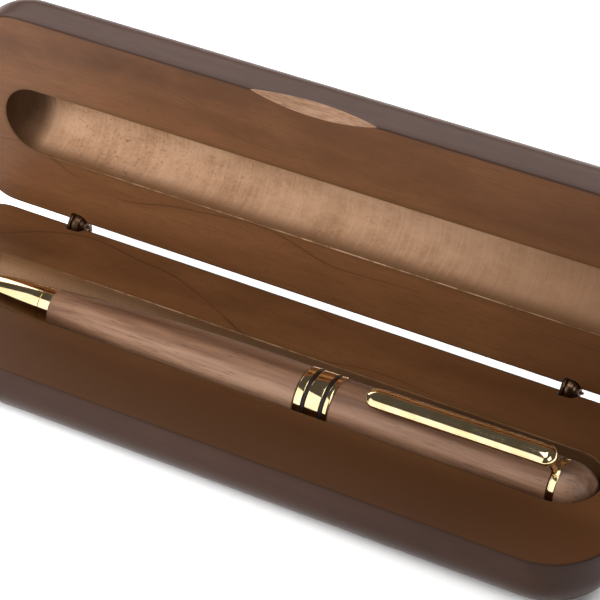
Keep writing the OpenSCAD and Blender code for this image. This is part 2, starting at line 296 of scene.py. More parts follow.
class Shader:
    """A node material, with short calls for the nodes that the materials below use."""

    def __init__(self, name):
        """Starts the material with its surface and nothing else."""
        self.material = bpy.data.materials.new(name)
        self.material.use_nodes = True
        self.tree = self.material.node_tree
        self.surface = self.tree.nodes["Principled BSDF"]

    def node(self, kind, inputs=None, **settings):
        """A new node, with its settings and with values or links for its inputs."""
        made = self.tree.nodes.new(kind)
        for key, value in settings.items():
            setattr(made, key, value)
        for key, value in (inputs or {}).items():
            self.feed(made.inputs[key], value)
        return made

    def feed(self, socket, value):
        """Links a socket to an output, or gives it a plain value."""
        if isinstance(value, bpy.types.NodeSocket):
            self.tree.links.new(value, socket)
        else:
            socket.default_value = value

    def math(self, operation, a, b=0.0, c=0.0):
        """The result of a Math node."""
        return self.node("ShaderNodeMath", {0: a, 1: b, 2: c}, operation=operation).outputs[0]

    def times(self, first, *others):
        """The product of several values."""
        for other in others:
            first = self.math("MULTIPLY", first, other)
        return first

    def vector(self, operation, a, b=(0, 0, 0)):
        """The result of a Vector Math node."""
        made = self.node("ShaderNodeVectorMath", {0: a, 1: b}, operation=operation)
        return made.outputs["Value" if operation == "LENGTH" else "Vector"]

    def parts(self, vector):
        """The x, y and z of a vector."""
        return self.node("ShaderNodeSeparateXYZ", {0: vector}).outputs[0:3]

    def join(self, x, y, z):
        """A vector from its x, y and z."""
        return self.node("ShaderNodeCombineXYZ", {0: x, 1: y, 2: z}).outputs[0]

    def noise(self, vector, scale, detail, roughness, distortion=0.0):
        """Noise at a place; the scale is a number, or one for each axis."""
        if isinstance(scale, tuple):
            vector = self.vector("MULTIPLY", vector, scale)
            scale = 1.0
        made = self.node("ShaderNodeTexNoise", {
            "Vector": vector,
            "Scale": scale,
            "Detail": detail,
            "Roughness": roughness,
            "Distortion": distortion,
        })
        return made.outputs[0]

    def range(self, value, low, high, to_low=0.0, to_high=1.0):
        """A smooth step: to_low at low, to_high at high."""
        made = self.node(
            "ShaderNodeMapRange",
            {0: value, 1: low, 2: high, 3: to_low, 4: to_high},
            interpolation_type="SMOOTHSTEP",
        )
        return made.outputs[0]

    def ramp(self, value, stops):
        """A colour from [position, colour] stops."""
        made = self.node("ShaderNodeValToRGB", {0: value})
        ramp = made.color_ramp
        while len(ramp.elements) > 1:
            ramp.elements.remove(ramp.elements[-1])
        ramp.elements[0].position = stops[0][0]
        ramp.elements[0].color = (*stops[0][1], 1)
        for position, colour in stops[1:]:
            ramp.elements.new(position).color = (*colour, 1)
        return made.outputs[0]

    def mix(self, amount, a, b):
        """The colour a where the amount is 0, and b where it is 1."""
        made = self.node("ShaderNodeMix", data_type="RGBA")
        self.feed(made.inputs[0], amount)
        self.feed(made.inputs[6], (*a, 1) if isinstance(a, tuple) else a)
        self.feed(made.inputs[7], (*b, 1) if isinstance(b, tuple) else b)
        return made.outputs[2]

    def bump(self, height, distance, strength):
        """The normal of a surface with this relief."""
        made = self.node("ShaderNodeBump", {"Height": height, "Distance": distance, "Strength": strength})
        return made.outputs[0]

    def set(self, **values):
        """Gives the surface its inputs, and returns the finished material."""
        for key, value in values.items():
            socket = self.surface.inputs[key.replace("_", " ")]
            if isinstance(value, tuple):
                value = (*value, 1)
            self.feed(socket, value)
        return self.material


# ---- Materials ----

STAIN_DARK = (0.049, 0.0185, 0.0062)
STAIN = (0.080, 0.0315, 0.0112)
STAIN_LIGHT = (0.110, 0.0455, 0.0175)
STAIN_OLIVE = (0.052, 0.0250, 0.0070)
GROOVE_PALE = (0.295, 0.176, 0.108)
GROOVE_BROWN = (0.200, 0.108, 0.058)
GROOVE_EDGE = (0.095, 0.045, 0.018)
# pale bare wood: for worn chips, and for the painted highlight on the groove's rim
RUBBED_WOOD_AND_HIGHLIGHT = (0.42, 0.27, 0.17)
WALL_DARK = (0.0270, 0.0105, 0.0058)
WALL_LIGHT = (0.0380, 0.0160, 0.0095)
EDGE_STAIN = (0.020, 0.0090, 0.0050)
NOTCH_PALE = (0.225, 0.130, 0.080)
NOTCH_BROWN = (0.135, 0.070, 0.038)
PEN_DARK = (0.070, 0.030, 0.016)
PEN_BROWN = (0.150, 0.076, 0.043)
PEN_PALE = (0.212, 0.120, 0.074)


def scaled(colour, factor):
    """A colour made darker or lighter."""
    return tuple(min(1.0, channel * factor) for channel in colour)


def case_wood(name, seed, notched):
    """Stained wood: satin figured faces, a paler fuzzy groove, and a dark closed finish outside."""
    s = Shader(name)
    place = s.node("ShaderNodeAttribute", attribute_name="half_place").outputs["Vector"]
    moved = s.vector("ADD", place, (seed, seed * 1.7, seed * 2.3))
    at = half_regions(s, place)
    figure = wood_figure(s, moved)

    colour = s.mix(at.in_groove, face_colour(s, at, figure, notched), groove_colour(s, at, figure, notched))
    # pale groove rim: worn stain plus a painted highlight
    colour = s.mix(s.times(groove_rim(s, at, moved, notched), 0.7), colour, RUBBED_WOOD_AND_HIGHLIGHT)
    colour = s.mix(at.outer, colour, wall_colour(s, moved))
    colour = edge_colour(s, at, moved, colour)
    if notched:
        cut_wood = s.mix(s.range(figure.fibre, 0.35, 0.7), NOTCH_PALE, NOTCH_BROWN)
        cut_wood = s.mix(s.range(figure.mottle, 0.45, 0.7, 0.0, 0.5), cut_wood, scaled(NOTCH_BROWN, 0.8))
        colour = s.mix(notch_mask(s, at), colour, cut_wood)

    rough = s.math("ADD", s.range(figure.fibre, 0.4, 0.8, 0.42, 0.52), s.times(at.in_groove, 0.4))
    rough = s.math("SUBTRACT", rough, s.times(at.outer, 0.08))
    grain = s.math("ADD", s.times(figure.fibre, 0.35), s.times(figure.pores, -0.3))
    fuzz = s.math("ADD", s.times(figure.speckle, 0.9), s.times(figure.marks, 0.7))
    height = s.math("ADD", grain, s.times(fuzz, at.in_groove))
    height = s.times(height, s.math("SUBTRACT", 1.0, s.times(at.outer, 0.7)))
    return s.set(
        Base_Color=colour,
        Roughness=rough,
        Specular_IOR_Level=0.13,
        Normal=s.bump(height, 0.04 * MM, 0.8),
    )


def half_regions(s, place):
    """Where a point is on a half: its distances, and whether it is in the groove or on the outer walls."""
    x, y, z = s.parts(place)
    below = s.math("SUBTRACT", FACE_Z, z)
    run = s.math("MAXIMUM", s.math("SUBTRACT", s.math("ABSOLUTE", x), GROOVE_HALF_RUN), 0.0)
    aside = s.math("SUBTRACT", y, PEN_Y)
    from_groove = s.math("SUBTRACT", s.vector("LENGTH", s.join(run, aside, 0.0)), GROOVE_RADIUS)

    radius = s.range(y, -1 * MM, 1 * MM, CORNER_RADIUS, REAR_CORNER_RADIUS)
    past_x = s.math("ADD", s.math("SUBTRACT", s.math("ABSOLUTE", x), HALF_LENGTH), radius)
    past_y = s.math("ADD", s.math("SUBTRACT", s.math("ABSOLUTE", y), HALF_WIDTH), radius)
    in_corner = s.join(s.math("MAXIMUM", past_x, 0.0), s.math("MAXIMUM", past_y, 0.0), 0.0)
    inside = s.math("MINIMUM", s.math("MAXIMUM", past_x, past_y), 0.0)
    from_edge = s.math("SUBTRACT", radius, s.math("ADD", s.vector("LENGTH", in_corner), inside))

    in_groove = s.times(s.range(from_groove, 0.5 * MM, 0.1 * MM), s.range(below, 0.06 * MM, 0.4 * MM))
    in_groove = s.times(in_groove, s.math("GREATER_THAN", z, 2 * MM))
    outer = s.times(s.range(below, 0.06 * MM, 0.2 * MM), s.math("SUBTRACT", 1.0, in_groove))
    return SimpleNamespace(
        x=x, y=y, z=z, below=below, run=run, aside=aside,
        from_groove=from_groove, from_edge=from_edge, in_groove=in_groove, outer=outer,
    )


def wood_figure(s, moved):
    """The wood's figure, stretched along the case, and the marks that the cutter left in the groove."""
    drift = s.noise(moved, (10, 14, 14), 2.0, 0.5)
    count = s.math("ADD", s.times(s.parts(moved)[1], 80), s.times(drift, 5))
    wave = s.math("SINE", s.times(count, 2 * math.pi))
    sparse = s.range(s.noise(moved, (14, 60, 60), 2.0, 0.5), 0.42, 0.6)
    return SimpleNamespace(
        broad=s.noise(moved, (7, 55, 55), 3.0, 0.55, 0.4),
        mottle=s.noise(moved, (55, 90, 90), 4.0, 0.6, 0.3),
        fibre=s.noise(moved, (260, 3400, 3400), 3.0, 0.6),
        pores=s.noise(moved, (900, 5200, 5200), 1.0, 0.5),
        thin_lines=s.times(s.range(wave, 0.994, 1.0), sparse),
        wide_lines=s.times(s.range(wave, 0.3, 1.0), sparse),
        speckle=s.noise(moved, (1500, 1900, 1900), 2.0, 0.6),
        cloud=s.noise(moved, (60, 110, 110), 4.0, 0.6),
        marks=s.noise(moved, (1700, 90, 90), 2.0, 0.55, 0.3),
        peppered=s.noise(moved, (26, 60, 60), 2.0, 0.5),
    )


def face_colour(s, at, figure, notched):
    """The stained inner face, with painted shade that darkens it to the right and, on the base, towards the
    front.
    """
    face = s.ramp(figure.broad, [(0.32, STAIN_DARK), (0.5, STAIN), (0.7, STAIN_LIGHT)])
    face = s.mix(s.range(figure.mottle, 0.4, 0.7, 0.0, 0.4), face, STAIN_LIGHT)
    face = s.mix(s.range(figure.fibre, 0.4, 0.75, 0.0, 0.4), face, STAIN_DARK)
    face = s.mix(s.range(figure.pores, 0.62, 0.74, 0.0, 0.35), face, scaled(STAIN_DARK, 0.4))
    face = s.mix(s.times(figure.wide_lines, 0.16), face, STAIN_DARK)
    face = s.mix(s.times(figure.thin_lines, 0.6), face, scaled(STAIN_DARK, 0.5))
    beside_groove = s.range(s.math("ABSOLUTE", s.math("SUBTRACT", at.from_groove, 0.3 * MM)), 1.0 * MM, 0.0)
    face = s.mix(s.times(beside_groove, 0.4), face, STAIN_OLIVE)
    # painted shade: the face darkens to the right, where the light falls off
    face = s.mix(s.range(at.x, 30 * MM, 78 * MM, 0.0, 0.55), face, STAIN_DARK)
    if not notched:
        # painted shade: the base's face darkens towards the front
        face = s.mix(s.range(at.y, -4 * MM, -12 * MM, 0.0, 0.9), face, scaled(STAIN_DARK, 0.95))
    return face


def groove_colour(s, at, figure, notched):
    """The groove, rough from the cutter: paler, with dark pores at the left and fine marks across it;
    painted shade darkens it to the right, under its rims and in its round ends.
    """
    left = s.range(at.x, 5 * MM, -50 * MM)
    peppered = s.times(s.range(figure.peppered, 0.4, 0.62), s.math("MULTIPLY_ADD", left, 0.8, 0.2))
    specks = s.times(s.range(figure.speckle, 0.6, 0.7), s.math("MULTIPLY_ADD", peppered, 0.85, 0.08))
    hollow = s.mix(s.range(figure.cloud, 0.3, 0.7), GROOVE_BROWN, GROOVE_PALE)
    hollow = s.mix(s.range(figure.marks, 0.42, 0.7, 0.0, 0.3), hollow, scaled(GROOVE_PALE, 1.25))
    hollow = s.mix(s.range(figure.speckle, 0.5, 0.3, 0.0, 0.25), hollow, scaled(GROOVE_PALE, 1.3))
    hollow = s.mix(s.times(specks, 0.75), hollow, scaled(GROOVE_BROWN, 0.3))
    hollow = s.mix(s.times(figure.wide_lines, 0.2), hollow, GROOVE_BROWN)
    # painted shade: the groove darkens to the right, where the light falls off
    hollow = s.mix(s.range(at.x, 10 * MM, 75 * MM, 0.0, 0.85), hollow, scaled(GROOVE_BROWN, 0.8))
    if not notched:
        # painted shade on the base's groove: browner overall, a little darker at the left, and much darker
        # to the right around the pen
        hollow = s.mix(0.5, hollow, GROOVE_BROWN)
        hollow = s.mix(s.range(at.x, -15 * MM, -60 * MM, 0.0, 0.25), hollow, GROOVE_EDGE)
        hollow = s.mix(s.range(at.x, 5 * MM, 50 * MM, 0.0, 0.85), hollow, STAIN_DARK)
    # a darker band under the groove's rims: stain taken up more near the rims, plus a painted shadow that
    # reaches deeper on the front side, which is the upper rim of the standing lid
    reach = s.range(at.aside, -2 * MM, 2 * MM, 6.8 * MM, 4.8 * MM)
    hollow = s.mix(s.range(at.below, reach, 0.6 * MM, 0.0, 0.85), hollow, GROOVE_EDGE)
    # painted shade in the round ends, on top of the darker stain that end grain takes
    return s.mix(s.range(at.run, 0.5 * MM, 4 * MM, 0.0, 0.75), hollow, scaled(GROOVE_EDGE, 0.7))


def groove_rim(s, at, moved, notched):
    """A pale, broken line along the groove's edge, partly where the stain has rubbed off and partly a
    painted highlight, strongest along the rear and fading out towards the left end.
    """
    off_rim = s.math("ABSOLUTE", s.math("SUBTRACT", at.from_groove, RIM_BEVEL * 0.3))
    return s.times(
        s.range(off_rim, 0.17 * MM, 0.05 * MM),
        s.range(s.noise(moved, (300, 500, 500), 3.0, 0.7), 0.4, 0.56, 0.15, 1.0),
        s.range(s.noise(moved, (18, 30, 30), 2.0, 0.5), 0.38, 0.6, 0.1, 0.9),
        s.range(at.below, 0.5 * MM, 0.15 * MM),
        s.range(at.x, -58 * MM, -34 * MM),
        s.range(at.aside, -2 * MM, 2 * MM, 0.12, 1.0 if notched else 0.7),
    )


def wall_colour(s, moved):
    """The dark finish of the outer walls."""
    haze = s.noise(moved, (30, 60, 60), 4.0, 0.6)
    grain = s.noise(moved, (150, 1900, 1900), 3.0, 0.6)
    wall = s.ramp(haze, [(0.3, WALL_DARK), (0.7, WALL_LIGHT)])
    return s.mix(s.range(grain, 0.4, 0.8, 0.0, 0.5), wall, scaled(WALL_DARK, 0.55))


def edge_colour(s, at, moved, colour):
    """Adds the dark line along the face's outer edge, broken by a few pale chips."""
    edge_line = s.times(s.range(at.from_edge, 0.5 * MM, 0.2 * MM), s.range(at.below, 0.7 * MM, 0.3 * MM))
    chips = s.times(
        s.range(s.noise(moved, (330, 430, 430), 3.0, 0.6), 0.71, 0.74),
        s.range(at.from_edge, 0.3 * MM, 0.2 * MM),
        s.range(at.below, 0.4 * MM, 0.2 * MM),
    )
    colour = s.mix(s.times(edge_line, 0.8), colour, EDGE_STAIN)
    return s.mix(chips, colour, RUBBED_WOOD_AND_HIGHLIGHT)


def notch_mask(s, at):
    """One on the thumb notch, which is part of a large drum lying across the front edge."""
    depth = NOTCH_DEPTH / math.sqrt(2)
    drum = ((NOTCH_LENGTH / 2) ** 2 + depth * depth) / (2 * depth)
    up = s.math("SUBTRACT", at.z, FACE_Z)
    forward = s.math("ADD", at.y, HALF_WIDTH)
    out = s.times(s.math("SUBTRACT", up, forward), math.sqrt(0.5))
    from_axis = s.vector("LENGTH", s.join(at.x, s.math("SUBTRACT", out, drum - depth), 0.0))
    return s.range(s.math("ABSOLUTE", s.math("SUBTRACT", from_axis, drum)), 0.12 * MM, 0.03 * MM)


def pen_wood(name, seed):
    """Turned walnut: pale brown with dark streaks and pores along the pen, glossier towards the clip."""
    s = Shader(name)
    place = s.node("ShaderNodeTexCoord").outputs["Object"]
    moved = s.vector("ADD", place, (seed, seed * 0.6, seed * 1.3))
    warp = s.noise(moved, (22, 120, 120), 2.0, 0.5)
    bent = s.vector("ADD", moved, s.join(0.0, s.times(warp, 0.0016), s.times(warp, 0.0011)))
    broad = s.noise(bent, (14, 330, 330), 3.0, 0.55)
    streak = s.noise(bent, (70, 1500, 1500), 4.0, 0.62)
    pores = s.noise(bent, (230, 3000, 3000), 2.0, 0.6)
    colour = s.ramp(broad, [(0.28, PEN_DARK), (0.5, PEN_BROWN), (0.7, PEN_PALE)])
    colour = s.mix(s.range(streak, 0.44, 0.72, 0.0, 0.5), colour, scaled(PEN_DARK, 0.9))
    colour = s.mix(s.range(pores, 0.6, 0.74, 0.0, 0.55), colour, scaled(PEN_DARK, 0.3))
    height = s.math("ADD", s.times(streak, -0.3), s.times(pores, -0.7))
    return s.set(
        Base_Color=colour,
        Roughness=s.range(streak, 0.3, 0.7, 0.38, 0.52),
        Specular_IOR_Level=s.range(s.parts(place)[0], -30 * MM, 35 * MM, 0.24, 0.5),
        Normal=s.bump(height, 0.04 * MM, 0.8),
    )


def metal(name, dark, light, rough, scratch, spot=0.0):
    """Plated or turned metal: slight colour drift, fine turning marks, and wiped smudges."""
    s = Shader(name)
    place = s.node("ShaderNodeTexCoord").outputs["Object"]
    cloud = s.noise(place, (260, 260, 260), 3.0, 0.6)
    marks = s.noise(place, (5200, 160, 160), 2.0, 0.6)
    smudge = s.noise(place, (420, 600, 600), 4.0, 0.65)
    colour = s.mix(s.range(cloud, 0.3, 0.7), dark, light)
    if spot:
        worn = s.noise(place, (900, 900, 900), 4.0, 0.7)
        colour = s.mix(s.range(worn, 0.55, 0.72, 0.0, spot), colour, scaled(light, 2.6))
    return s.set(
        Base_Color=colour,
        Metallic=1.0,
        Roughness=s.range(smudge, 0.35, 0.75, rough, rough + scratch),
        Normal=s.bump(marks, 0.004 * MM, 0.35),
    )


def smooth_plastic(name, colour, rough):
    """Enamel or moulded plastic with a faint orange peel."""
    s = Shader(name)
    place = s.node("ShaderNodeTexCoord").outputs["Object"]
    peel = s.noise(place, 1400.0, 2.0, 0.5)
    dust = s.noise(place, 5200.0, 3.0, 0.7)
    shade = s.mix(s.range(dust, 0.6, 0.8, 0.0, 0.35), colour, tuple(c * 2 + 0.01 for c in colour))
    return s.set(
        Base_Color=shade,
        Roughness=s.range(peel, 0.3, 0.7, rough, rough + 0.08),
        Specular_IOR_Level=0.25,
        Normal=s.bump(peel, 0.01 * MM, 0.4),
    )


def pale_floor():
    """Plain matt paper."""
    s = Shader("pale_floor")
    place = s.node("ShaderNodeTexCoord").outputs["Object"]
    tone = s.noise(place, 6.0, 3.0, 0.5)
    shade = s.mix(s.range(tone, 0.3, 0.7), (0.90, 0.90, 0.90), (0.93, 0.93, 0.93))
    return s.set(Base_Color=shade, Roughness=0.9)


BASE_WOOD = case_wood("base_wood", 0.31, False)
LID_WOOD = case_wood("lid_wood", 0.83, True)
LOWER_WOOD = pen_wood("lower_pen_wood", 0.12)
UPPER_WOOD = pen_wood("upper_pen_wood", 0.47)
FINIAL_WOOD = pen_wood("finial_pen_wood", 0.9)
GOLD = metal("gold_plate", (0.83, 0.62, 0.33), (0.93, 0.75, 0.46), 0.06, 0.08)
BRONZE = metal("antique_bronze", (0.062, 0.034, 0.020), (0.150, 0.088, 0.050), 0.24, 0.2, 0.25)
BRASS = metal("drawn_brass", (0.66, 0.49, 0.22), (0.78, 0.61, 0.31), 0.2, 0.15)
STEEL = metal("turned_steel", (0.50, 0.51, 0.53), (0.64, 0.65, 0.67), 0.22, 0.15)
ENAMEL = smooth_plastic("black_enamel", (0.010, 0.007, 0.006), 0.3)
REFILL = smooth_plastic("refill_plastic", (0.016, 0.018, 0.030), 0.22)


# ---- The wooden halves ----

CORNER_STEPS = 14
LONG_STEPS = 56
SHORT_STEPS = 8


def rounded_outline(inset, z):
    """The case's outline in plan, drawn in by inset, going round from the rear wall's left end."""
    hx = HALF_LENGTH - inset
    hy = HALF_WIDTH - inset
    rear = max(REAR_CORNER_RADIUS - inset, 0.2 * MM)
    front = max(CORNER_RADIUS - inset, 0.2 * MM)
    points = []
    for i in range(LONG_STEPS):
        points.append((-(hx - rear) + 2 * (hx - rear) * i / LONG_STEPS, hy, z))
    points += end_outline(hx, hy, rear, front, z, 1)
    for i in range(LONG_STEPS):
        points.append(((hx - front) - 2 * (hx - front) * i / LONG_STEPS, -hy, z))
    points += end_outline(hx, hy, front, rear, z, -1)
    return points


def end_outline(hx, hy, first, second, z, side):
    """Two corners of these radii and the short wall between them, at the right (1) or the left (-1)."""
    points = []
    for i in range(CORNER_STEPS):
        a = math.pi / 2 * (1 - i / CORNER_STEPS)
        x = hx - first + first * math.cos(a)
        y = hy - first + first * math.sin(a)
        points.append((side * x, side * y, z))
    wall = 2 * hy - first - second
    for i in range(SHORT_STEPS):
        points.append((side * hx, side * (hy - first - wall * i / SHORT_STEPS), z))
    for i in range(CORNER_STEPS):
        a = -math.pi / 2 * i / CORNER_STEPS
        x = hx - second + second * math.cos(a)
        y = second - hy + second * math.sin(a)
        points.append((side * x, side * y, z))
    return points


def groove_outline(radius, z):
    """The groove's outline in plan at one radius, with the same points as the case's outline."""
    points = []
    end_steps = 2 * CORNER_STEPS + SHORT_STEPS
    for side in (1, -1):
        for i in range(LONG_STEPS):
            x = side * (-GROOVE_HALF_RUN + 2 * GROOVE_HALF_RUN * i / LONG_STEPS)
            points.append((x, PEN_Y + side * radius, z))
        for i in range(end_steps):
            a = math.pi / 2 - math.pi * i / end_steps
            x = side * (GROOVE_HALF_RUN + radius * math.cos(a))
            points.append((x, PEN_Y + side * radius * math.sin(a), z))
    return points


def blended(a, b, t):
    """The outline that is the part t of the way from one outline to another."""
    return [tuple(p + (q - p) * t for p, q in zip(u, v)) for u, v in zip(a, b)]


def half_shape(name):
    """One half with its inner face up, as the base lies."""
    under = rounded_outline(EDGE_RADIUS, 0)
    spine_end = HALF_LENGTH - HALF_WIDTH
    spine = [(max(-spine_end, min(spine_end, x)), 0, 0) for x, y, z in under]
    rings = [spine]
    rings += [blended(spine, under, t) for t in (0.35, 0.7)]
    for inset, z in arc((EDGE_RADIUS, EDGE_RADIUS), EDGE_RADIUS, -90, -180, 14):
        rings.append(rounded_outline(inset, z))
    wall_top = FACE_Z - FACE_BEVEL
    for t in (0.33, 0.66):
        rings.append(rounded_outline(0, EDGE_RADIUS + (wall_top - EDGE_RADIUS) * t))
    for inset, z in arc((FACE_BEVEL, wall_top), FACE_BEVEL, 180, 90, 4):
        rings.append(rounded_outline(inset, z))
    near_edge = rounded_outline(FACE_BEVEL + 0.8 * MM, FACE_Z)
    rings.append(near_edge)
    rim_angle = math.asin((GROOVE_DEPTH - GROOVE_RADIUS) / GROOVE_RADIUS)
    rim_radius = GROOVE_RADIUS * math.cos(rim_angle)
    near_rim = groove_outline(rim_radius + RIM_BEVEL + 0.6 * MM, FACE_Z)
    rings += [blended(near_edge, near_rim, t) for t in (0.25, 0.5, 0.75)]
    rings.append(near_rim)
    for r, z in arc((rim_radius + RIM_BEVEL, FACE_Z - RIM_BEVEL), RIM_BEVEL, 90, 180, 3):
        rings.append(groove_outline(r, z))
    start = math.degrees(math.asin((GROOVE_CENTRE_Z - FACE_Z + RIM_BEVEL) / GROOVE_RADIUS))
    for i in range(1, 23):
        a = math.radians(start + (90 - start) * i / 22)
        z = GROOVE_CENTRE_Z - GROOVE_RADIUS * math.sin(a)
        rings.append(groove_outline(GROOVE_RADIUS * math.cos(a), z))
    return mesh_object(name, *bridge(rings))


def knuckle_cutters():
    """Room for the knuckles in a half's rear edge, following the eyes and the acorn closely."""
    cutters = []
    for low, high in ((left_pin_low, left_pin_high), (right_pin_low, right_pin_high)):
        start = low.x + HINGE_PIN_LEFT
        outline = [(low.x - KNUCKLE_GAP, 0.0)]
        for i in range(9):
            a = math.pi / 2 * i / 8
            x = low.x + EYE_ROUNDING - (EYE_ROUNDING + KNUCKLE_GAP) * math.cos(a)
            r = EYE_RADIUS - EYE_ROUNDING + (EYE_ROUNDING + KNUCKLE_GAP) * math.sin(a)
            outline.append((x, r))
        outline += [(start + x + KNUCKLE_GAP * 0.6, r + KNUCKLE_GAP) for x, r in acorn_outline()]
        outline += [(high.x + KNUCKLE_GAP, 0.4 * MM), (high.x + KNUCKLE_GAP, 0.0)]
        cutters.append(lathe("cutter", outline, HINGE_Y, HINGE_Z, 64))
    return cutters


def acorn_outline():
    """The acorn's dome from its foot to its nipple, as [along x, radius] from the eyes' right side."""
    points = []
    lean = math.sin(math.radians(8))
    for i in range(17):
        a = math.radians(8 + 74 * i / 16)
        points.append((0.03 * MM + DOME_HEIGHT * (math.sin(a) - lean), DOME_RADIUS * math.cos(a)))
    return points


def notch_cutter():
    """The drum that scoops the thumb notch out of a half's front edge."""
    depth = NOTCH_DEPTH / math.sqrt(2)
    drum = ((NOTCH_LENGTH / 2) ** 2 + depth * depth) / (2 * depth)
    steps = 720
    rings = []
    for along in (-1, 1):
        ring = []
        for i in range(steps):
            a = 2 * math.pi * i / steps
            out = drum - depth + drum * math.cos(a)
            side = along * 3 * NOTCH_DEPTH
            ring.append((
                drum * math.sin(a),
                -HALF_WIDTH + (side - out) / math.sqrt(2),
                FACE_Z + (side + out) / math.sqrt(2),
            ))
        rings.append(ring)
    cutter = mesh_object("cutter", *bridge(rings, True, True))
    tidy_mesh(cutter)
    return cutter


def remember_place(piece):
    """Stores each point's place in the half as it lies open side up, for the material."""
    mesh = piece.data
    store = mesh.attributes.new("half_place", "FLOAT_VECTOR", "POINT")
    for i, vert in enumerate(mesh.vertices):
        store.data[i].vector = vert.co


def to_open_lid(piece):
    """Carries a half from lying open side up to standing as the open lid."""
    for vert in piece.data.vertices:
        x, y, z = vert.co
        vert.co = (x, HINGE_Y + HINGE_Z - z, HINGE_Z + HINGE_Y - y)
    piece.data.flip_normals()


def case_half(name, is_lid):
    """The base's wood, or the lid's standing open."""
    piece = half_shape(name)
    tidy_mesh(piece)
    cutters = knuckle_cutters()
    if is_lid:
        cutters.append(notch_cutter())
    combine(piece, cutters, "DIFFERENCE")
    remember_place(piece)
    if is_lid:
        to_open_lid(piece)
    return piece


keep(case_half("base_shell", False), "base", ["base_half"], BASE_WOOD)
keep(case_half("lid_shell", True), "lid", ["lid_half"], LID_WOOD)

# ---- Hinges ----

def eye_ring(name, eye, bore, x):
    """A leaf's eye, with its rims well rounded."""
    outline = [(x + eye[0], bore), (x + eye[0], EYE_RADIUS - EYE_ROUNDING)]
    for i in range(1, 8):
        a = math.pi / 2 * i / 8
        left = x + eye[0] + EYE_ROUNDING * (1 - math.cos(a))
        outline.append((left, EYE_RADIUS - EYE_ROUNDING * (1 - math.sin(a))))
    crown = eye[1] - eye[0] - EYE_ROUNDING
    for i in range(9):
        t = i / 8
        outline.append((x + eye[0] + EYE_ROUNDING + crown * t, EYE_RADIUS - 0.14 * MM * t ** 2))
    outline.append((x + eye[1], bore))
    return lathe(name, outline, HINGE_Y, HINGE_Z, 72, loop=True)


def leaf(name, eye, bore, x):
    """An eye, a flat bar on the rear wall and a stem into the wood, for a leaf on the base."""
    piece = eye_ring(name, eye, bore, x)
    bar = block(
        "bar",
        (x + eye[0] + 0.01 * MM, HINGE_Y - HINGE_OFFSET, HINGE_Z - BAR_LENGTH),
        (x + eye[1] - 0.01 * MM, HINGE_Y - HINGE_OFFSET + BAR_THICKNESS, HINGE_Z - bore - 0.3 * MM),
        0.1 * MM,
    )
    middle = x + (eye[0] + eye[1]) / 2
    stem_z = HINGE_Z - STEM_DROP
    stem_start = (middle, HINGE_Y - HINGE_OFFSET + 0.4 * MM, stem_z)
    stem_end = (middle, HINGE_Y - HINGE_OFFSET + 0.5 * MM - STEM_LENGTH, stem_z)
    stem = tube_along("stem", stem_start, stem_end, STEM_RADIUS)
    combine(piece, [bar, stem], "UNION")
    return piece


def base_leaf(name, x):
    """The base's leaf, with the hook that stops the open lid."""
    piece = leaf(name, BASE_EYE, 0.82 * MM, x)
    low = HINGE_Z - BAR_LENGTH + 0.4 * MM
    shelf = HINGE_Z + STOP_SHELF_Z
    arm = block(
        "arm",
        (x + BASE_EYE[0], HINGE_Y + 0.4 * MM, low),
        (x + BASE_EYE[1], HINGE_Y + STOP_Y[1], low + STOP_THICKNESS),
        0.1 * MM,
    )
    upright = block(
        "upright",
        (x + STOP_X[0], HINGE_Y + STOP_Y[1] - STOP_THICKNESS, low),
        (x + STOP_X[1], HINGE_Y + STOP_Y[1], shelf),
        0.1 * MM,
    )
    shelf_plate = block(
        "shelf",
        (x + STOP_X[0], HINGE_Y + STOP_Y[0], shelf - STOP_THICKNESS),
        (x + STOP_X[1], HINGE_Y + STOP_Y[1], shelf),
        0.1 * MM,
    )
    combine(piece, [arm, upright, shelf_plate], "UNION")
    return piece


def lid_leaf(name, x):
    """The lid's leaf: the base's turned over to the lid, then stood open."""
    piece = leaf(name, LID_EYE, 0.84 * MM, x)
    for vert in piece.data.vertices:
        vert.co.z = 2 * HINGE_Z - vert.co.z
    for vert in piece.data.vertices:
        y, z = vert.co.y - HINGE_Y, vert.co.z - HINGE_Z
        vert.co.y, vert.co.z = HINGE_Y + z, HINGE_Z - y
    piece.data.flip_normals()
    return piece


def hinge_pin(name, x):
    """The rivet: a peened head, a shank, and an acorn that ends in a nipple."""
    shank = [(-2.3, 0), (-2.3, 0.75), (-2.23, 1.05), (-2.15, 1.2), (-2.15, 0.8), (0.0, 0.8), (0.0, 2.2)]
    nipple = [(1.76, 0.36), (1.9, 0.31), (2.12, 0.3), (2.2, 0.2), (2.22, 0)]
    outline = [(along * MM, r * MM) for along, r in shank]
    outline += acorn_outline()
    outline += [(along * MM, r * MM) for along, r in nipple]
    return lathe(name, [(x + along, r) for along, r in outline], HINGE_Y, HINGE_Z, 72)


for side, low, high in (("left", left_pin_low, left_pin_high), ("right", right_pin_low, right_pin_high)):
    hinge_x = low.x + HINGE_PIN_LEFT
    keep(base_leaf(side + "_base_leaf_piece", hinge_x), "base", [side + "_base_leaf"], BRONZE)
    keep(lid_leaf(side + "_lid_leaf_piece", hinge_x), "lid", [side + "_lid_leaf"], BRONZE)
    keep(hinge_pin(side + "_hinge_pin_piece", hinge_x), "base", [side + "_hinge_pin"], BRONZE)

# ---- Pen ----

def barrel(name, start, end, radius_at, steps=40):
    """A wooden sleeve with slightly eased ends."""
    outline = []
    for i in range(steps + 1):
        t = i / steps
        outline.append((start + t * (end - start), radius_at(t)))
    ease = 0.1 * MM
    outline[0] = (start + ease, outline[0][1])
    outline[-1] = (end - ease, outline[-1][1])
    outline = [(start, outline[0][1] - ease)] + outline + [(end, outline[-1][1] - ease)]
    outline += [(end, TUBE_RADIUS), (start, TUBE_RADIUS)]
    return lathe(name, outline, steps=128, loop=True)


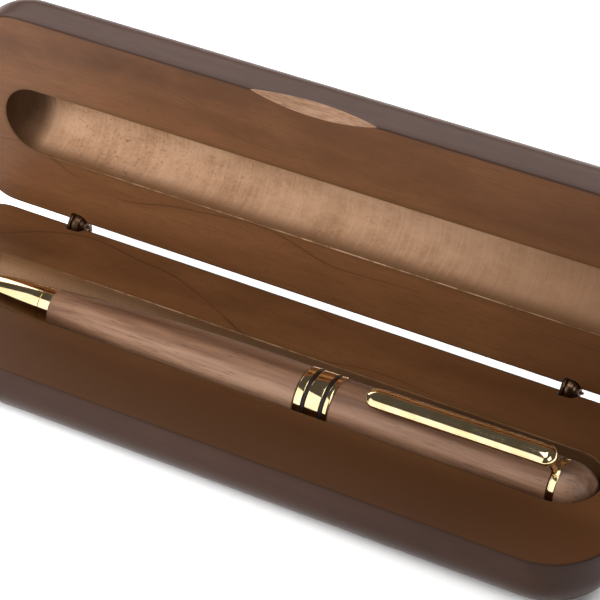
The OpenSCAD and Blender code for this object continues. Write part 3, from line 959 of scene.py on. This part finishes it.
def lower_radius(t):
    """The lower barrel swells quickly from the nose, then levels out."""
    return LOWER_START_RADIUS + (WAIST_RADIUS - LOWER_START_RADIUS) * (1 - (1 - t) ** 2.2)


def upper_radius(t):
    """The upper barrel narrows towards the clip ring."""
    return WAIST_RADIUS - (WAIST_RADIUS - CAP_END_RADIUS) * t ** 1.8


def centre_band():
    """The plated band, slightly crowned at its ends, with two grooves."""
    start, end, r = band_low.x, band_high.x, band_high.z - PEN_Z
    outline = [(start, TUBE_RADIUS), (start, r - 0.2 * MM), (start + 0.22 * MM, r)]
    for centre in RING_CENTRES:
        low, high = centre - RING_WIDTH / 2, centre + RING_WIDTH / 2
        outline += [(low, r), (low, r - RING_DEPTH), (high, r - RING_DEPTH), (high, r)]
    outline += [(end - 0.22 * MM, r), (end, r - 0.2 * MM), (end, TUBE_RADIUS)]
    return lathe("band_piece", softened(outline, 0.12 * MM, 4, loop=True), steps=160, loop=True)


def band_ring(name, centre):
    """An enamelled ring with a low crown, lying in its groove."""
    low, high = centre - RING_WIDTH / 2 + 0.04 * MM, centre + RING_WIDTH / 2 - 0.04 * MM
    r = band_high.z - PEN_Z
    outline = [
        (low, r - RING_DEPTH),
        (low, r - 0.16 * MM),
        (centre - 0.2 * MM, r - 0.07 * MM),
        (centre + 0.2 * MM, r - 0.07 * MM),
        (high, r - 0.16 * MM),
        (high, r - RING_DEPTH),
    ]
    return lathe(name, softened(outline, 0.12 * MM, 3, loop=True), steps=160, loop=True)


def nose_cone():
    """The plated cone, with a fine groove before its collar and a bore for the refill."""
    start, steps = cone_low.x, 28
    outline = [(start, NOSE_BORE), (start, NOSE_TIP_RADIUS - 0.15 * MM)]
    for i in range(steps + 1):
        t = 0.01 + 0.99 * i / steps
        r = NOSE_TIP_RADIUS + (NOSE_RADIUS - NOSE_TIP_RADIUS) * (1 - (1 - t) ** 1.7)
        outline.append((start + t * (NOSE_LINE_X - start), r))
    outline += [
        (NOSE_LINE_X + 0.02 * MM, NOSE_RADIUS - 0.14 * MM),
        (NOSE_LINE_X + 0.23 * MM, NOSE_RADIUS - 0.14 * MM),
        (NOSE_LINE_X + 0.25 * MM, NOSE_RADIUS),
        (NOSE_END_X - 0.08 * MM, NOSE_RADIUS),
        (NOSE_END_X, NOSE_RADIUS - 0.08 * MM),
        (NOSE_END_X, 3.2 * MM),
        (NOSE_END_X + 6 * MM, 3.2 * MM),
        (NOSE_END_X + 6 * MM, 1.9 * MM),
        (start + 8.0 * MM, 1.9 * MM),
        (start + 6.8 * MM, 1.5 * MM),
        (start + 5.5 * MM, NOSE_BORE),
    ]
    return lathe("nose_cone_piece", outline, steps=128, loop=True)


def clip_ring():
    """The plated ring over the clip's plate."""
    low, high = ring_low.x, ring_high.x
    outline = [(low, 2.6 * MM), (low, CAP_END_RADIUS), (high, CAP_END_RADIUS), (high, 2.6 * MM)]
    return lathe("clip_ring_piece", softened(outline, 0.14 * MM, 4, loop=True), steps=128, loop=True)


def finial():
    """The wooden dome that ends the pen."""
    start, end = finial_low.x, finial_high.x
    r = CAP_END_RADIUS - 0.05 * MM
    outline = [(start, 1.5 * MM), (start, r - 0.1 * MM)]
    steps = 30
    for i in range(steps + 1):
        t = 0.015 + 0.985 * math.sin(math.pi / 2 * i / steps)
        outline.append((start + t * (end - start), r * max(0.0, 1 - t ** 2.2) ** (1 / 2.2)))
    outline += [(start + 2.5 * MM, 0), (start + 2.5 * MM, 1.5 * MM)]
    return lathe("finial_piece", outline, steps=128, loop=True)


def clip_place(x, side, up):
    """A point beside and above the pen's axis, rolled forward with the clip."""
    y = PEN_Y + side * math.cos(CLIP_ROLL) - up * math.sin(CLIP_ROLL)
    z = PEN_Z + side * math.sin(CLIP_ROLL) + up * math.cos(CLIP_ROLL)
    return (x, y, z)


def clip_section(centre, width, thickness, steps=28):
    """A crowned section at a centre, which is a point of the path and its direction out of the pen."""
    (x, up), (out_x, out_up) = centre
    points = []
    for i in range(steps + 1):
        a = math.pi * i / steps
        side = width / 2 * math.cos(a)
        rise = thickness * (0.26 + 0.74 * math.sin(a))
        points.append(clip_place(x + out_x * rise, side, up + out_up * rise))
    for i in range(1, 8):
        a = math.pi * i / 8
        side = -width / 2 * 0.94 * math.cos(a)
        rise = thickness * (0.05 + 0.16 * math.sin(a))
        points.append(clip_place(x + out_x * rise, side, up + out_up * rise))
    return points


def clip_bar():
    """The crowned bar, its round tip, and the bend that narrows towards the ring."""
    tip = clip_low.x
    slope = (CLIP_BOTTOM[1] - CLIP_BOTTOM[0]) / (CLIP_BEND_X - tip)
    half = CLIP_WIDTH / 2
    rings = []
    for i in range(1, 13):
        along = half * (1 - math.cos(math.pi / 2 * i / 12))
        width = CLIP_WIDTH * math.sqrt(max(0.0, 1 - (1 - along / half) ** 2))
        fade = 0.55 + 0.45 * math.sin(math.pi / 2 * i / 12)
        centre = ((tip + along, CLIP_BOTTOM[0] + slope * along), (0, 1))
        rings.append(clip_section(centre, width, CLIP_THICKNESS * fade))
    for i in range(1, 25):
        along = half + (CLIP_BEND_X - tip - half) * i / 24
        centre = ((tip + along, CLIP_BOTTOM[0] + slope * along), (0, 1))
        rings.append(clip_section(centre, CLIP_WIDTH, CLIP_THICKNESS))
    for i in range(1, 15):
        t = i / 14
        a = math.radians(86 * t)
        x = CLIP_BEND_X + CLIP_BEND_RADIUS * math.sin(a)
        up = CLIP_BOTTOM[1] - CLIP_BEND_RADIUS * (1 - math.cos(a))
        width = CLIP_WIDTH + (CLIP_NECK_WIDTH - CLIP_WIDTH) * t ** 2
        thickness = CLIP_THICKNESS * (1 - 0.2 * t)
        rings.append(clip_section(((x, up), (math.sin(a), math.cos(a))), width, thickness))
    for i in range(1, 6):
        x = CLIP_BEND_X + (0.58 + 0.1 * i) * MM
        up = CLIP_BOTTOM[1] - CLIP_BEND_RADIUS - (CLIP_BOTTOM[1] - 0.6 * MM - CAP_END_RADIUS) * i / 5
        rings.append(clip_section(((x, up), (1, 0)), CLIP_NECK_WIDTH, 1.3 * MM))
    piece = mesh_object("clip_piece", *bridge(rings, True, True))
    tidy_mesh(piece)
    return piece


def clip_tab():
    """The slotted tab that laps over the clip ring."""
    low, high = ring_low.x + 0.08 * MM, ring_high.x - 0.1 * MM
    inner, outer = CAP_END_RADIUS + 0.03 * MM, CAP_END_RADIUS + CLIP_TAB_THICKNESS
    slot = block(
        "slot",
        (low + 0.42 * MM, -CLIP_NECK_WIDTH * 0.3, inner + 0.06 * MM),
        (high - 0.38 * MM, CLIP_NECK_WIDTH * 0.3, outer + 1 * MM),
        0.08 * MM,
    )
    for vert in slot.data.vertices:
        vert.co = clip_place(*vert.co)
    reach = math.asin(CLIP_NECK_WIDTH / 2 / outer)
    outline = softened([(low, inner), (low, outer), (high, outer), (high, inner)], 0.1 * MM, 3, loop=True)
    rings = []
    for i in range(17):
        a = -reach + 2 * reach * i / 16
        rings.append([clip_place(x, r * math.sin(a), r * math.cos(a)) for x, r in outline])
    piece = mesh_object("clip_tab", *bridge(rings, True, True))
    tidy_mesh(piece)
    combine(piece, [slot], "DIFFERENCE")
    return piece


def clip_foot():
    """The round foot by which the clip's tip touches the barrel."""
    x = clip_low.x + CLIP_WIDTH / 2
    start = clip_place(x, 0, CLIP_BOTTOM[0] + 0.5 * MM)
    end = clip_place(x, 0, WAIST_RADIUS + 0.06 * MM)
    return tube_along("foot", start, end, 0.8 * MM)


def clip_plate():
    """The washer that is held between the barrel and the clip ring."""
    low, high = upper_high.x + 0.005 * MM, ring_low.x
    outline = [(low, 2.6 * MM), (low, 5 * MM), (high, 5 * MM), (high, 2.6 * MM)]
    return lathe("plate", softened(outline, 0.06 * MM, 2, loop=True), steps=128, loop=True)


clip = clip_bar()
combine(clip, [clip_tab(), clip_foot(), clip_plate()], "UNION")

lower_barrel = barrel("lower_barrel_piece", lower_low.x, lower_high.x, lower_radius)
upper_barrel = barrel("upper_barrel_piece", upper_low.x, upper_high.x, upper_radius)
keep(lower_barrel, "pen_lower", ["lower_barrel"], LOWER_WOOD)
keep(upper_barrel, "pen_upper", ["upper_barrel"], UPPER_WOOD)
keep(finial(), "pen_upper", ["finial"], FINIAL_WOOD)
keep(centre_band(), "pen_upper", ["centre_band"], GOLD)
keep(clip_ring(), "pen_upper", ["clip_ring"], GOLD)
keep(clip, "pen_upper", ["clip"], GOLD)
keep(nose_cone(), "pen_lower", ["nose_cone"], GOLD)
for number, centre in enumerate(RING_CENTRES):
    ring = band_ring("band_ring_%d" % (number + 1), centre)
    keep(ring, "pen_upper", ["band_rings"], ENAMEL)

# ---- The pen's inner parts keep their CAD shape ----

INNER_LOOKS = {
    "upper_tube": BRASS,
    "lower_tube": BRASS,
    "finial_plug": BRASS,
    "refill_tip": BRASS,
    "mechanism_stem": STEEL,
    "mechanism_body": STEEL,
    "refill_carrier": STEEL,
    "refill_tube": REFILL,
}
for node_name, look in INNER_LOOKS.items():
    data = frame["nodes"][node_name].data
    data.materials.clear()
    data.materials.append(look)

# ---- Floor, lights and camera ----

FLOOR_REACH = 6.0
floor_corners = [(FLOOR_REACH * x, FLOOR_REACH * y, 0) for x, y in ((-1, -1), (1, -1), (1, 1), (-1, 1))]
floor = mesh_object("floor", floor_corners, [(0, 1, 2, 3)])
floor.data.materials.append(pale_floor())


def direction(azimuth, elevation):
    """A unit vector towards a place seen from the object; azimuth 0 is in front, 90 to the right."""
    a, e = math.radians(azimuth), math.radians(elevation)
    return Vector((math.sin(a) * math.cos(e), -math.cos(a) * math.cos(e), math.sin(e)))


def softbox(name, azimuth, elevation, distance, size, power):
    """A rectangular light that faces the case."""
    data = bpy.data.lights.new(name, "AREA")
    data.shape = "RECTANGLE"
    data.size, data.size_y = size
    data.energy = power
    light = bpy.data.objects.new(name, data)
    aim = Vector((0, HALF_WIDTH, 2 * FACE_Z))
    light.location = aim + direction(azimuth, elevation) * distance
    light.rotation_euler = (aim - light.location).to_track_quat("-Z", "Y").to_euler()
    bpy.context.scene.collection.objects.link(light)
    return light


# The key and the backdrop only light surfaces; the shine and the glow are only seen mirrored in them
key = softbox("key", -44, 27, 0.4, (0.2, 0.42), 3.5)
key.visible_glossy = False
shine = softbox("shine", -30, 27, 0.5, (0.5, 0.46), 1.03)
shine.visible_diffuse = False
softbox("side", 75, 30, 0.7, (0.3, 0.3), 0.8)
softbox("top", 25, 78, 0.9, (0.5, 0.5), 2.6)
backdrop = softbox("backdrop", 178, 32, 1.2, (1.5, 0.6), 40)
backdrop.visible_glossy = False
glow = softbox("glow", 212, 36, 1.2, (2.0, 0.6), 12)
glow.visible_diffuse = False

world = bpy.data.worlds.new("studio")
bpy.context.scene.world = world
world.use_nodes = True
world.node_tree.nodes["Background"].inputs["Color"].default_value = (1, 0.97, 0.93, 1)
world.node_tree.nodes["Background"].inputs["Strength"].default_value = 0.08
bpy.context.scene.view_settings.view_transform = "Standard"

CAMERA_AZIMUTH = 30.86
CAMERA_ELEVATION = 37.85
CAMERA_ROLL = -1.555
CAMERA_DISTANCE = 556.46 * MM
CAMERA_LENS = 164.02
camera_aim = Vector((-3.75 * MM, HINGE_Y - 0.4 * MM, HINGE_Z))
camera_data = bpy.data.cameras.new("camera")
camera_data.lens = CAMERA_LENS
camera_data.sensor_width = 36.0
camera_data.clip_start = 0.01
camera = bpy.data.objects.new("camera", camera_data)
toward = direction(CAMERA_AZIMUTH, CAMERA_ELEVATION)
turn = (-toward).to_track_quat("-Z", "Y").to_matrix() @ Matrix.Rotation(math.radians(CAMERA_ROLL), 3, "Z")
camera.matrix_world = Matrix.Translation(camera_aim + toward * CAMERA_DISTANCE) @ turn.to_4x4()
bpy.context.scene.collection.objects.link(camera)
bpy.context.scene.camera = camera
